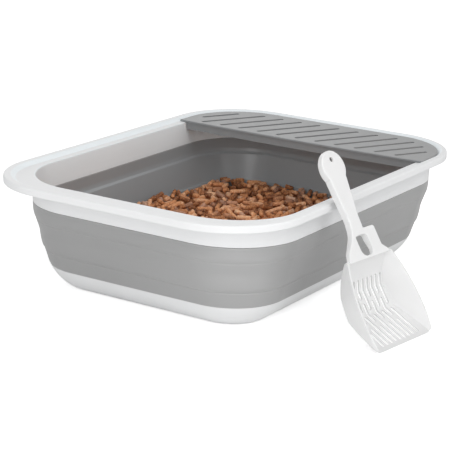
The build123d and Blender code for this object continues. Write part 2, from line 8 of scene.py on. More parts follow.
import json
import logging
import math
from dataclasses import dataclass, field
from enum import Enum

import bmesh
import bpy
import numpy as np
from mathutils import Matrix, Vector

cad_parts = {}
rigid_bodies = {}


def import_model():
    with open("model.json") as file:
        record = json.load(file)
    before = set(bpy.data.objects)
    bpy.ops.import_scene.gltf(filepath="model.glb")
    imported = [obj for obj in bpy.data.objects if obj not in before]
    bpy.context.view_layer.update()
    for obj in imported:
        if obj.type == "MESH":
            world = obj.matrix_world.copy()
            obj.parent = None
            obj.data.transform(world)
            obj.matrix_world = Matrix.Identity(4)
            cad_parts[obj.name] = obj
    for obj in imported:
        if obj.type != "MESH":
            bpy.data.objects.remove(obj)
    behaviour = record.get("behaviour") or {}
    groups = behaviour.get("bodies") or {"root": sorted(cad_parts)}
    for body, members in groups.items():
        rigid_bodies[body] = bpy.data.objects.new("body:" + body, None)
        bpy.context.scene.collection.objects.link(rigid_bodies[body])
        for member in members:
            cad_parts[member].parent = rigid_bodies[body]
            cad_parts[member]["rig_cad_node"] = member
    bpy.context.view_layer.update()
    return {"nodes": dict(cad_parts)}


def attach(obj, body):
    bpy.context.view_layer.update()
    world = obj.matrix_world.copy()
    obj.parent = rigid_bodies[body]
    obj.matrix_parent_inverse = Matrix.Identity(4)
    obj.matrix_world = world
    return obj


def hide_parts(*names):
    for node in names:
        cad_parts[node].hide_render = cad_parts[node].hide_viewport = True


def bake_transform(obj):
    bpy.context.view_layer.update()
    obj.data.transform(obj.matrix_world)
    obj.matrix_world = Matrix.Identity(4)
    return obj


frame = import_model()
LOG = logging.getLogger("litter_box")
MM = 0.001

Colour = tuple[float, float, float]
Place = tuple[float, float, float]
Point = tuple[float, float]
Range = tuple[float, float]
Noise = tuple[float, float]
Face = tuple[int, ...]

BLACK: Colour = (0.0, 0.0, 0.0)
WHITE: Colour = (1.0, 1.0, 1.0)
# The cosine between a face's direction and the way out from the middle, where the painted inside
# tones start and where they are full. Faces that look into the box get a painted tone of their own
# for the light and
# shade inside it: lighter and cooler on the white plastic, darker on the greys.
PAINTED_INSIDE_RANGE: Range = (-0.05, -0.45)
# How far large faces outweigh small ones in the shading. 50 is neutral.
FLAT_WEIGHT = 60


# Shader expressions


class Wire:
    """The value at a shader socket, which takes part in sums as a number does."""

    def __init__(self, nodes: "Nodes", socket: bpy.types.NodeSocket) -> None:
        """Keeps the socket and the nodes that it belongs to."""
        self.nodes = nodes
        self.socket = socket

    def __add__(self, other: "Wire | float") -> "Wire":
        """This value plus another."""
        return self.nodes.sum("ADD", self, other)

    __radd__ = __add__

    def __sub__(self, other: "Wire | float") -> "Wire":
        """This value less another."""
        return self.nodes.sum("SUBTRACT", self, other)

    def __rsub__(self, other: "Wire | float") -> "Wire":
        """Another value less this one."""
        return self.nodes.sum("SUBTRACT", other, self)

    def __mul__(self, other: "Wire | float") -> "Wire":
        """This value times another."""
        return self.nodes.sum("MULTIPLY", self, other)

    __rmul__ = __mul__

    def fraction(self) -> "Wire":
        """What this value has after its point."""
        return self.nodes.sum("FRACT", self, 0.0)


class Nodes:
    """Makes and links the nodes of one tree."""

    def __init__(self, tree: bpy.types.NodeTree) -> None:
        """Keeps the tree."""
        self.tree = tree

    def feed(self, socket: bpy.types.NodeSocket, value: object) -> None:
        """Links or sets a socket.

        Args:
            socket: The socket that takes the value.
            value: A Wire, a number or a tuple of numbers.
        """
        if isinstance(value, Wire):
            self.tree.links.new(value.socket, socket)
        elif isinstance(value, tuple) and len(value) == 3 and socket.type == "RGBA":
            socket.default_value = (*value, 1.0)
        else:
            socket.default_value = value

    def node(self, kind: str, settings: dict, inputs: dict, out: int | str = 0) -> Wire:
        """Makes a node, with its settings before its sockets.

        Args:
            kind: The node's type.
            settings: The node's own values. "stops" holds a ramp's positions and colours.
            inputs: The values or links of its sockets, by name or number.
            out: The output that is given back.

        Returns:
            The value at that output.
        """
        made = self.tree.nodes.new(kind)
        for key, value in settings.items():
            if key == "stops":
                elements = made.color_ramp.elements
                while len(elements) < len(value):
                    elements.new(0.5)
                for element, (position, colour) in zip(elements, value):
                    element.position = position
                    element.color = (*colour, 1.0)
            else:
                setattr(made, key, value)
        for key, value in inputs.items():
            self.feed(made.inputs[key], value)
        return Wire(self, made.outputs[out])

    def sum(self, operation: str, first: Wire | float, second: Wire | float) -> Wire:
        """The result of one Math node."""
        return self.node("ShaderNodeMath", {"operation": operation}, {0: first, 1: second})

    def vector(self, operation: str, *inputs: Wire | Place, out: int = 0) -> Wire:
        """The result of one Vector Math node: a vector, or a number where out is 1."""
        settings = {"operation": operation}
        return self.node("ShaderNodeVectorMath", settings, dict(enumerate(inputs)), out)

    def mix(self, share: Wire | float, first: Wire | Colour, second: Wire | Colour) -> Wire:
        """A colour between two, by a share."""
        inputs = {"Factor": share, 6: first, 7: second}
        return self.node("ShaderNodeMix", {"data_type": "RGBA"}, inputs, 2)

    def span(
        self,
        value: Wire,
        source: Range,
        result: Range = (0.0, 1.0),
        curve: str = "LINEAR",
    ) -> Wire:
        """Brings a value from one range to another, and holds it at the ends.

        Args:
            value: The value.
            source: Its range.
            result: The range that it is brought to.
            curve: How it goes from end to end.

        Returns:
            The value in its new range.
        """
        ends = ("From Min", "From Max", "To Min", "To Max")
        inputs = {"Value": value, **dict(zip(ends, (*source, *result)))}
        settings = {"clamp": True, "interpolation_type": curve}
        return self.node("ShaderNodeMapRange", settings, inputs)

    def ray(self, kind: str) -> Wire:
        """Whether a ray is of a kind, as 0 or 1."""
        return self.node("ShaderNodeLightPath", {}, {}, f"Is {kind} Ray")

    def place(self) -> Wire:
        """The place on the object, in metres."""
        return self.node("ShaderNodeTexCoord", {}, {}, "Object")

    def noise(self, scale: float, detail: float) -> Wire:
        """Noise on the object, from 0 to 1.

        Args:
            scale: Waves to a metre.
            detail: How many finer layers are added.

        Returns:
            The noise.
        """
        inputs = {"Vector": self.place(), "Scale": scale, "Detail": detail}
        return self.node("ShaderNodeTexNoise", {}, inputs)


class Graph(Nodes):
    """The nodes of one material, with its shader."""

    def __init__(self, name: str) -> None:
        """Makes an empty material with a shader.

        Args:
            name: The material's name.
        """
        self.material = bpy.data.materials.new(name)
        self.material.use_nodes = True
        super().__init__(self.material.node_tree)
        self.tree.nodes.clear()
        output = self.tree.nodes.new("ShaderNodeOutputMaterial")
        self.shader = self.tree.nodes.new("ShaderNodeBsdfPrincipled")
        self.tree.links.new(self.shader.outputs[0], output.inputs["Surface"])

    def painted_inside_share(self) -> Wire:
        """How far a face looks towards the middle of the box, which sets how much painted inside
        light and shade it gets.

        Returns:
            0 on faces that look up, down or away from it, up to 1 on those that look at it.
        """
        normal = self.node("ShaderNodeNewGeometry", {}, {}, "Normal")
        away = self.vector("NORMALIZE", self.vector("MULTIPLY", self.place(), (1.0, 1.0, 0.0)))
        return self.span(self.vector("DOT_PRODUCT", normal, away, out=1), PAINTED_INSIDE_RANGE)

    def clouded(self, tone: Wire, depth: float, noise: Noise) -> Wire:
        """A tone that is darker by a share in soft clouds."""
        return self.mix(self.noise(*noise), self.mix(depth, tone, BLACK), tone)

    def uneven(self, middle: float, spread: float, noise: Noise) -> Wire:
        """A value that varies by a spread about its middle."""
        return self.noise(*noise) * spread + (middle - spread / 2)

    def relief(self, height: Wire, depth: float) -> None:
        """Bumps the surface by a height.

        Args:
            height: The height, from 0 to 1.
            depth: What a height of 1 stands for, in metres.
        """
        inputs = {"Height": height, "Distance": depth, "Strength": 1.0}
        self.set(Normal=self.node("ShaderNodeBump", {}, inputs))

    def set(self, **values: object) -> None:
        """Feeds the shader's sockets; an underscore in a name stands for a space."""
        for key, value in values.items():
            self.feed(self.shader.inputs[key.replace("_", " ")], value)


# Finishes. A noise is its waves to a metre and its finer layers. Depths are in millimetres.


@dataclass(frozen=True)
class MouldedPlastic:
    """A moulded plastic: a plain colour with faint clouds, a tone painted on faces that look into
    the box for the light and shade there, a satin face and a fine grain.
    """

    name: str
    colour: Colour
    # The tone painted on faces that look into the box, standing in for the light and shade inside
    # it.
    inner: Colour
    roughness: float
    grain: float
    glow: float = 0.0
    glow_depth: float = 4.0
    clouds: float = 0.03
    cloud_noise: Noise = (14.0, 3.0)
    scuffs: float = 0.12
    scuff_noise: Noise = (90.0, 4.0)
    fine_share: float = 0.7
    fine_noise: Noise = (1500.0, 2.0)
    broad_share: float = 0.3
    broad_noise: Noise = (60.0, 2.0)
    specular: float = 0.35

    def material(self) -> bpy.types.Material:
        """Makes the finish.

        Returns:
            Its material.
        """
        graph = Graph(self.name)
        # Painted light and shade: faces that look into the box take the inner tone.
        tone = graph.mix(graph.painted_inside_share(), self.colour, self.inner)
        graph.set(
            Base_Color=graph.clouded(tone, self.clouds, self.cloud_noise),
            Roughness=graph.uneven(self.roughness, self.scuffs, self.scuff_noise),
            Specular_IOR_Level=self.specular,
            Subsurface_Weight=self.glow,
            Subsurface_Radius=(1.0, 1.0, 1.0),
            Subsurface_Scale=self.glow_depth * MM,
        )
        fine = graph.noise(*self.fine_noise) * self.fine_share
        broad = graph.noise(*self.broad_noise) * self.broad_share
        graph.relief(fine + broad, self.grain * MM)
        return graph.material


@dataclass(frozen=True)
class SoftMoulding:
    """The folding wall's soft moulding: grey and silky, with a painted highlight, paler, on its
    sharpest ridges, and a painted inside tone.
    """

    name: str
    colour: Colour
    # The tone painted on faces that look into the box, standing in for the light and shade inside
    # it.
    inner: Colour
    # The colour of the painted highlight on the sharpest ridges.
    pale: Colour
    roughness: float
    # The pointiness over which the painted highlight comes in, and its largest share.
    highlight_pointiness: Range = (0.505, 0.56)
    highlight_share: float = 0.6
    clouds: float = 0.05
    cloud_noise: Noise = (9.0, 3.0)
    scuffs: float = 0.10
    scuff_noise: Noise = (70.0, 3.0)
    skin: float = 0.02
    skin_noise: Noise = (900.0, 2.0)
    specular: float = 0.6

    def material(self) -> bpy.types.Material:
        """Makes the finish.

        Returns:
            Its material.
        """
        graph = Graph(self.name)
        # Painted highlight: the sharpest convex ridges and ledges are painted paler, for the light
        # that they catch.
        edge_sharpness = graph.node("ShaderNodeNewGeometry", {}, {}, "Pointiness")
        painted_highlight = graph.span(edge_sharpness, self.highlight_pointiness, (0.0, self.highlight_share))
        # Painted light and shade: faces that look into the box take the inner tone.
        tone = graph.mix(graph.painted_inside_share(), self.colour, self.inner)
        body = graph.clouded(tone, self.clouds, self.cloud_noise)
        graph.set(
            Base_Color=graph.mix(painted_highlight, body, self.pale),
            Roughness=graph.uneven(self.roughness, self.scuffs, self.scuff_noise),
            Specular_IOR_Level=self.specular,
        )
        graph.relief(graph.noise(*self.skin_noise), self.skin * MM)
        return graph.material


@dataclass(frozen=True)
class PressedWood:
    """Pressed wood pellets: each its own brown or bleached, mottled, flecked and rough."""

    name: str
    tones: tuple[tuple[float, Colour], ...]
    faded: Colour
    roughness: float
    own_share: float = 0.72
    mottle_share: float = 0.9
    mottle_noise: Noise = (420.0, 4.0)
    darkest: float = 0.12
    second_draw: float = 7.3
    bleached: Range = (0.68, 0.95)
    bleaching: float = 0.55
    flecked: Range = (0.60, 0.72)
    flecking: float = 0.35
    fleck_noise: Noise = (1100.0, 2.0)
    scuffs: float = 0.3
    scuff_noise: Noise = (300.0, 2.0)
    crumble: float = 0.7
    crumble_noise: Noise = (700.0, 4.0)
    specular: float = 0.3

    def material(self) -> bpy.types.Material:
        """Makes the finish.

        Returns:
            Its material.
        """
        graph = Graph(self.name)
        each = graph.node("ShaderNodeNewGeometry", {}, {}, "Random Per Island")
        mottle = (graph.noise(*self.mottle_noise) - 0.5) * self.mottle_share
        tone = each * self.own_share + mottle + self.darkest
        brown = graph.node("ShaderNodeValToRGB", {"stops": self.tones}, {"Fac": tone})
        drawn = (each * self.second_draw).fraction()
        faded = graph.span(drawn, self.bleached, (0.0, self.bleaching))
        flecks = graph.span(graph.noise(*self.fleck_noise), self.flecked, (0.0, self.flecking))
        _, palest = self.tones[-1]
        graph.set(
            Base_Color=graph.mix(flecks, graph.mix(faded, brown, self.faded), palest),
            Roughness=graph.uneven(self.roughness, self.scuffs, self.scuff_noise),
            Specular_IOR_Level=self.specular,
        )
        graph.relief(graph.noise(*self.crumble_noise), self.crumble * MM)
        return graph.material


class Finish(Enum):
    """The finishes of the box, by what they are on. Each value is the record's material slot."""

    WHITE = "white_plastic"
    SCOOP = "scoop_plastic"
    SOFT = "soft_grey"
    PLATFORM = "platform_grey"
    LITTER = "wood_pellets"


FINISHES = {
    Finish.WHITE: MouldedPlastic(
        name="white_satin",
        colour=(0.835, 0.84, 0.845),
        # Painted light: faces that look into the box are lighter and cooler.
        inner=(0.875, 0.92, 0.94),
        roughness=0.48,
        grain=0.02,
    ),
    Finish.SCOOP: MouldedPlastic(
        name="white_gloss",
        colour=(0.80, 0.80, 0.80),
        inner=(0.80, 0.80, 0.80),
        roughness=0.32,
        grain=0.012,
        glow=0.45,
    ),
    Finish.SOFT: SoftMoulding(
        name="soft_grey_moulding",
        colour=(0.350, 0.350, 0.350),
        # Painted inside tone, a little darker and cooler, and the painted highlight on the ridges.
        inner=(0.322, 0.340, 0.352),
        pale=(0.44, 0.44, 0.44),
        roughness=0.33,
    ),
    Finish.PLATFORM: MouldedPlastic(
        name="platform_satin",
        colour=(0.328, 0.331, 0.333),
        # Painted shade: faces that look into the box are darker.
        inner=(0.26, 0.272, 0.280),
        roughness=0.50,
        grain=0.03,
    ),
    Finish.LITTER: PressedWood(
        name="pressed_wood",
        tones=(
            (0.0, (0.12, 0.040, 0.016)),
            (0.3, (0.45, 0.175, 0.068)),
            (0.6, (0.78, 0.355, 0.160)),
            (1.0, (0.97, 0.65, 0.42)),
        ),
        faded=(0.48, 0.31, 0.25),
        roughness=0.55,
    ),
}


class Wardrobe:
    """Makes each finish's material once and dresses pieces in it."""

    def __init__(self) -> None:
        """Starts with no material made."""
        self.made: dict[Finish, bpy.types.Material] = {}

    def dress(self, piece: bpy.types.Object, finish: Finish) -> None:
        """Gives a piece one finish.

        Args:
            piece: The piece.
            finish: Its finish.
        """
        if finish not in self.made:
            self.made[finish] = FINISHES[finish].material()
        piece.data.materials.clear()
        piece.data.materials.append(self.made[finish])


# Meshes


class Outline(Enum):
    """The rounded outlines that the box's rings follow."""

    FLANGE = "flange"
    RECESS = "recess"
    MOUTH = "mouth"


@dataclass(frozen=True)
class Station:
    """One corner of a section: its outline, how far outside it, its height and its rounding."""

    outline: Outline
    out: float
    level: float
    ease: float = 0.0


@dataclass
class BoxShape:
    """The outlines that all rings of the box share, in millimetres."""

    width: float = 380.0
    length: float = 516.0
    height: float = 136.0
    flange_radius: float = 93.0
    side_ledge: float = 21.6
    back_ledge: float = 20.3
    front_ledge: float = 40.0
    mouth_radius: float = 80.4
    side_recess: float = 12.6
    back_recess: float = 8.6
    front_recess: float = 14.0
    arc_steps: int = 22
    side_steps: int = 6
    end_steps: int = 4
    ease_steps: int = 4
    most_eased: float = 0.49

    def numbers(self, station: Station) -> np.ndarray:
        """The ring at a station, as numbers that can be blended.

        Args:
            station: The station.

        Returns:
            The ring's half width, half length, corner radius, centre along Y and height.
        """
        base = {
            Outline.FLANGE: (self.width / 2, self.length / 2, self.flange_radius, 0.0),
            Outline.RECESS: (
                self.width / 2 - self.side_recess,
                (self.length - self.back_recess - self.front_recess) / 2,
                self.flange_radius - self.side_recess,
                (self.front_recess - self.back_recess) / 2,
            ),
            Outline.MOUTH: (
                self.width / 2 - self.side_ledge,
                (self.length - self.back_ledge - self.front_ledge) / 2,
                self.mouth_radius,
                (self.front_ledge - self.back_ledge) / 2,
            ),
        }[station.outline]
        half_width, half_length, radius, centre = base
        out = station.out
        return np.array(
            (half_width + out, half_length + out, radius + out, centre, station.level)
        )

    def points(self, ring: np.ndarray) -> np.ndarray:
        """The points of a ring, from the start of its corner between +X and +Y.

        Args:
            ring: The ring's numbers.

        Returns:
            The points, anticlockwise from above, in metres.
        """
        half_width, half_length, radius, centre, level = ring
        far_x, far_y = half_width - radius, half_length - radius
        corners = ((far_x, far_y), (-far_x, far_y), (-far_x, -far_y), (far_x, -far_y))
        quarter = math.pi / 2
        spots: list[Point] = []
        for number, (x, y) in enumerate(corners):
            turns = np.linspace(number * quarter, (number + 1) * quarter, self.arc_steps + 1)
            spots += [(x + radius * math.cos(a), y + radius * math.sin(a)) for a in turns]
            start_x, start_y = spots[-1]
            next_x, next_y = corners[(number + 1) % len(corners)]
            end_x = next_x + radius * math.cos(turns[-1])
            end_y = next_y + radius * math.sin(turns[-1])
            steps = self.end_steps if number % 2 == 0 else self.side_steps
            spots += [
                (
                    start_x + (end_x - start_x) * (step / steps),
                    start_y + (end_y - start_y) * (step / steps),
                )
                for step in range(1, steps)
            ]
        flat = np.array(spots)
        return np.column_stack((flat[:, 0], flat[:, 1] + centre, np.full(len(flat), level))) * MM

    def eased(self, stations: list[Station], closed: bool) -> list[np.ndarray]:
        """The rings of a section, with its corners rounded.

        Args:
            stations: The section's corners in order.
            closed: Whether the section closes on itself.

        Returns:
            The rings in order.
        """
        corners = [self.numbers(s) for s in stations]
        rings: list[np.ndarray] = []
        count = len(corners)
        for index, station in enumerate(stations):
            here = corners[index]
            if station.ease <= 0 or (not closed and index in (0, count - 1)):
                rings.append(here)
                continue
            before, after = corners[index - 1], corners[(index + 1) % count]
            ends = []
            for other in (before, after):
                away = other - here
                reach = max(math.hypot(away[0], away[4]), math.hypot(away[1], away[4]))
                ends.append(here + away * min(self.most_eased, station.ease / reach))
            for t in np.linspace(0.0, 1.0, self.ease_steps + 1):
                rings.append((1 - t) ** 2 * ends[0] + 2 * t * (1 - t) * here + t**2 * ends[1])
        return rings


def closer(rings: list[np.ndarray], step: float) -> list[np.ndarray]:
    """Rings with more of them in between, where they lie far apart.

    Args:
        rings: The rings in order.
        step: The longest stretch between rings.

    Returns:
        The rings in order.
    """
    dense = [rings[0]]
    for ring in rings[1:]:
        start = dense[-1]
        away = ring - start
        parts = max(1, math.ceil(math.hypot(away[0], away[4]) / step))
        dense += [start + away * (part / parts) for part in range(1, parts + 1)]
    return dense


def tube_faces(rows: int, around: int, closed: bool = False) -> list[Face]:
    """The faces between rows of points that each go round and meet themselves.

    Args:
        rows: How many rows there are.
        around: How many points a row has.
        closed: Whether the last row joins the first.

    Returns:
        The faces, as numbers of points.
    """
    faces: list[Face] = []
    for row in range(rows if closed else rows - 1):
        low, high = row * around, (row + 1) % rows * around
        for step in range(around):
            after = (step + 1) % around
            faces.append((low + step, low + after, high + after, high + step))
    return faces


def mesh_piece(
    name: str, points: np.ndarray, faces: list[Face], smooth: bool = True
) -> bpy.types.Object:
    """A new object from points and faces, with its faces turned outwards.

    Args:
        name: The piece's name.
        points: The points, in metres.
        faces: The faces, as numbers of points.
        smooth: Whether its faces are shaded smoothly.

    Returns:
        The object, in the scene.
    """
    mesh = bpy.data.meshes.new(name)
    mesh.from_pydata([tuple(p) for p in points], [], faces)
    work = bmesh.new()
    work.from_mesh(mesh)
    bmesh.ops.recalc_face_normals(work, faces=work.faces)
    work.to_mesh(mesh)
    work.free()
    mesh.polygons.foreach_set("use_smooth", [smooth] * len(mesh.polygons))
    piece = bpy.data.objects.new(name, mesh)
    bpy.context.scene.collection.objects.link(piece)
    return piece


def level_normals(piece: bpy.types.Object) -> None:
    """Shades flat faces flat and only the roundings round.

    Args:
        piece: The piece.
    """
    weighted = piece.modifiers.new("level_normals", "WEIGHTED_NORMAL")
    weighted.weight = FLAT_WEIGHT
    weighted.keep_sharp = True


def ring_piece(
    name: str, shape: BoxShape, rings: list[np.ndarray], closed: bool
) -> bpy.types.Object:
    """A piece whose section runs all round the box.

    Args:
        name: The piece's name.
        shape: The box's outlines.
        rings: The rings in order.
        closed: Whether the last ring joins the first. If not, both are filled.

    Returns:
        The object.
    """
    loops = [shape.points(r) for r in rings]
    around = len(loops[0])
    faces = tube_faces(len(loops), around, closed)
    if not closed:
        faces.append(tuple(range(around)))
        faces.append(tuple(range((len(loops) - 1) * around, len(loops) * around)))
    return mesh_piece(name, np.vstack(loops), faces)


def arc_through(first: Point, middle: Point, last: Point, steps: int) -> list[Point]:
    """Points on the circle's arc through three points.

    Args:
        first: Where the arc starts.
        middle: A point on the way.
        last: Where it ends.
        steps: How many parts it has.

    Returns:
        The points, both ends among them.
    """
    (ax, ay), (bx, by), (cx, cy) = first, middle, last
    aa, bb, cc = ax**2 + ay**2, bx**2 + by**2, cx**2 + cy**2
    twist = 2 * (ax * (by - cy) + bx * (cy - ay) + cx * (ay - by))
    centre_x = (aa * (by - cy) + bb * (cy - ay) + cc * (ay - by)) / twist
    centre_y = (aa * (cx - bx) + bb * (ax - cx) + cc * (bx - ax)) / twist
    start, passing, end = (
        math.atan2(y - centre_y, x - centre_x) for x, y in (first, middle, last)
    )
    full = 2 * math.pi
    to_middle, to_last = (passing - start) % full, (end - start) % full
    sweep = to_last if to_middle < to_last else to_last - full
    radius = math.hypot(ax - centre_x, ay - centre_y)
    turns = [start + sweep * step / steps for step in range(steps + 1)]
    return [(centre_x + radius * math.cos(a), centre_y + radius * math.sin(a)) for a in turns]


# The box's pieces. In a section, a round is the rounding of one corner.


@dataclass
class RimFrame:
    """The rigid rim: a wide flange, a sunk ledge, a turned-down lip and the wall's skirt."""

    shape: BoxShape
    wall: float = 2.4
    lip_height: float = 8.5
    recess_depth: float = 4.5
    recess_slope: float = 4.2
    skirt_depth: float = 34.9
    skirt_root: float = 4.6
    skirt_foot: float = 3.4
    foot_shift: float = 0.3
    pan_rise: float = 1.6
    lip_round: float = 0.9
    lip_inner_round: float = 0.6
    crown_round: float = 2.4
    recess_round: float = 1.6
    mouth_round: float = 2.0
    foot_inner_round: float = 0.5
    foot_outer_round: float = 0.6
    root_round: float = 2.5
    pan_round: float = 0.5
    channel_round: float = 0.8

    def build(self) -> bpy.types.Object:
        """Builds the rim and lets it ride.

        Returns:
            The rim.
        """
        top, slope, wall = self.shape.height, self.recess_slope, self.wall
        lip, ledge, foot = top - self.lip_height, top - self.recess_depth, top - self.skirt_depth
        pan, channel = lip + self.pan_rise, top - wall
        section = [
            Station(Outline.FLANGE, 0.0, lip, self.lip_round),
            Station(Outline.FLANGE, 0.0, top, self.crown_round),
            Station(Outline.RECESS, slope, top, self.recess_round),
            Station(Outline.RECESS, 0.0, ledge, self.recess_round),
            Station(Outline.MOUTH, 0.0, ledge, self.mouth_round),
            Station(Outline.MOUTH, self.foot_shift, foot, self.foot_inner_round),
            Station(Outline.MOUTH, self.foot_shift + self.skirt_foot, foot, self.foot_outer_round),
            Station(Outline.MOUTH, self.skirt_root, pan, self.root_round),
            Station(Outline.RECESS, slope, pan, self.pan_round),
            Station(Outline.RECESS, slope, channel, self.channel_round),
            Station(Outline.FLANGE, -wall, channel, self.channel_round),
            Station(Outline.FLANGE, -wall, lip, self.lip_inner_round),
        ]
        piece = ring_piece("rim", self.shape, self.shape.eased(section, True), True)
        level_normals(piece)
        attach(piece, "rim")
        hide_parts("rim_frame")
        return piece


@dataclass
class SoftWall:
    """The folding wall: one soft moulding with two living hinges, between the rim and the base.

    Its section goes down outside and up inside. Each corner is how far outside the mouth it lies,
    its height and its rounding.
    """

    shape: BoxShape
    fold_start: float = 45.6
    fold_end: float = 82.3
    ring_step: float = 1.2
    outside: tuple[Place, ...] = (
        (3.7, 101.0, 0.0),
        (3.5, 94.0, 3.0),
        (2.9, 88.0, 3.0),
        (1.3, 83.6, 0.8),
        (0.4, 82.3, 0.4),
        (0.4, 81.0, 0.6),
        (-1.9, 74.6, 3.0),
        (-4.2, 67.6, 3.5),
        (-4.9, 61.0, 4.0),
        (-6.3, 53.4, 3.0),
        (-7.6, 49.0, 2.0),
        (-9.3, 46.6, 0.6),
        (-10.2, 45.6, 0.4),
        (-10.0, 44.6, 0.5),
        (-12.2, 38.0, 3.0),
        (-14.7, 29.6, 2.0),
        (-15.9, 26.9, 0.0),
    )
    inside: tuple[Place, ...] = (
        (-18.7, 26.9, 0.0),
        (-18.7, 31.0, 2.0),
        (-15.0, 41.6, 2.0),
        (-14.0, 44.8, 0.5),
        (-11.6, 46.0, 0.5),
        (-10.8, 48.4, 1.5),
        (-9.3, 55.0, 4.0),
        (-7.6, 62.0, 4.0),
        (-6.0, 69.0, 4.0),
        (-4.3, 75.6, 3.0),
        (-3.1, 80.2, 0.8),
        (-0.9, 82.6, 0.8),
        (0.2, 86.6, 2.0),
        (0.35, 94.0, 3.0),
        (0.35, 101.0, 0.0),
    )

    def build(self) -> bpy.types.Object:
        """Builds the wall and hides the imported panels.

        Returns:
            The wall.
        """
        section = [Station(Outline.MOUTH, *s) for s in (*self.outside, *self.inside)]
        rings = closer(self.shape.eased(section, True), self.ring_step)
        piece = ring_piece("soft_wall", self.shape, rings, True)
        level_normals(piece)
        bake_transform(piece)
        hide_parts("wall_upper_panel", "wall_middle_panel", "wall_lower_panel")
        return piece


@dataclass
class BaseTray:
    """The rigid base: a flat floor with a full, rounded side."""

    shape: BoxShape
    height: float = 26.8
    wall: float = 2.8
    foot_inset: float = 41.0
    top_inset: float = 16.0
    floor_inset: float = 62.0
    bulge_out: float = 0.59
    bulge_up: float = 0.42
    arc_parts: int = 12
    foot_round: float = 2.0
    edge_round: float = 0.5

    def build(self) -> bpy.types.Object:
        """Builds the base and lets it ride.

        Returns:
            The base.
        """
        lean = self.foot_inset - self.top_inset
        outer = arc_through(
            (-self.foot_inset, 0.0),
            (-self.foot_inset + lean * self.bulge_out, self.height * self.bulge_up),
            (-self.top_inset, self.height),
            self.arc_parts,
        )
        foot, rise = -self.foot_inset - self.wall / 2, self.height - self.wall
        edge = -self.top_inset - self.wall
        inner = arc_through(
            (edge, self.height),
            (foot + (edge - foot) * self.bulge_out, self.wall + rise * self.bulge_up),
            (foot, self.wall),
            self.arc_parts,
        )
        section = [
            Station(Outline.MOUTH, -self.floor_inset, 0.0),
            Station(Outline.MOUTH, outer[0][0], 0.0, self.foot_round),
            *(Station(Outline.MOUTH, out, level) for out, level in outer[1:-1]),
            Station(Outline.MOUTH, *outer[-1], self.edge_round),
            Station(Outline.MOUTH, *inner[0], self.edge_round),
            *(Station(Outline.MOUTH, out, level) for out, level in inner[1:]),
            Station(Outline.MOUTH, -self.floor_inset, self.wall),
        ]
        piece = ring_piece("base", self.shape, self.shape.eased(section, False), False)
        level_normals(piece)
        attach(piece, "base")
        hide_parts("base_tray")
        return piece


@dataclass(frozen=True)
class Pellet:
    """A pressed pellet: a short rod with lumpy sides and rough broken ends.

    The lengths are the shortest, the commonest and the longest. A girth is a share of the length,
    counted from the middle, and a share of the radius. A range holds the least and the most of
    what differs from pellet to pellet.
    """

    radius: float = 3.0
    lengths: tuple[float, float, float] = (6.0, 11.0, 27.0)
    sides: int = 9
    girths: tuple[Point, ...] = (
        (-0.5, 0.80),
        (-0.47, 0.97),
        (-0.2, 1.0),
        (0.2, 1.0),
        (0.47, 0.97),
        (0.5, 0.80),
    )
    broken_past: float = 0.4
    thickness: Range = (0.86, 1.08)
    bend: Range = (-0.4, 0.4)
    lumps: Range = (0.95, 1.03)
    breaks: Range = (-0.9, 0.4)
    dents: Range = (0.0, 0.8)

    def faces(self) -> list[Face]:
        """The faces of one pellet.

        Returns:
            Its sides, then the fans that close its ends, as numbers of points.
        """
        rows, around = len(self.girths), self.sides
        faces = tube_faces(rows, around)
        last_row, first_tip, last_tip = (rows - 1) * around, rows * around, rows * around + 1
        for step in range(around):
            after = (step + 1) % around
            faces.append((first_tip, after, step))
            faces.append((last_tip, last_row + step, last_row + after))
        return faces

    def points(self, rng: np.random.Generator, length: float) -> np.ndarray:
        """The points of one pellet, which lies along X with its middle at the origin.

        Args:
            rng: Where its chances come from.
            length: Its length.

        Returns:
            Its rows of points, then its two tips.
        """
        turns = np.arange(self.sides) * 2 * math.pi / self.sides
        circle = np.column_stack((np.zeros(self.sides), np.cos(turns), np.sin(turns)))
        thick = self.radius * rng.uniform(*self.thickness)
        bend = rng.uniform(*self.bend)
        rows = []
        for share, girth in self.girths:
            row = circle.copy()
            row[:, 0] = share * length
            row[:, 1:] *= thick * girth * rng.uniform(*self.lumps, (self.sides, 1))
            # A bow from end to end, as deep as the bend and half above, half below the axis.
            row[:, 2] += bend * (0.25 - share**2) * 4 - bend * 0.5
            if abs(share) > self.broken_past:
                row[:, 0] += rng.uniform(*self.breaks, self.sides) * math.copysign(1, share)
            rows.append(row)
        first_tip = (-0.5 * length + rng.uniform(*self.dents), 0, 0)
        last_tip = (0.5 * length - rng.uniform(*self.dents), 0, 0)
        return np.vstack((*rows, first_tip, last_tip))


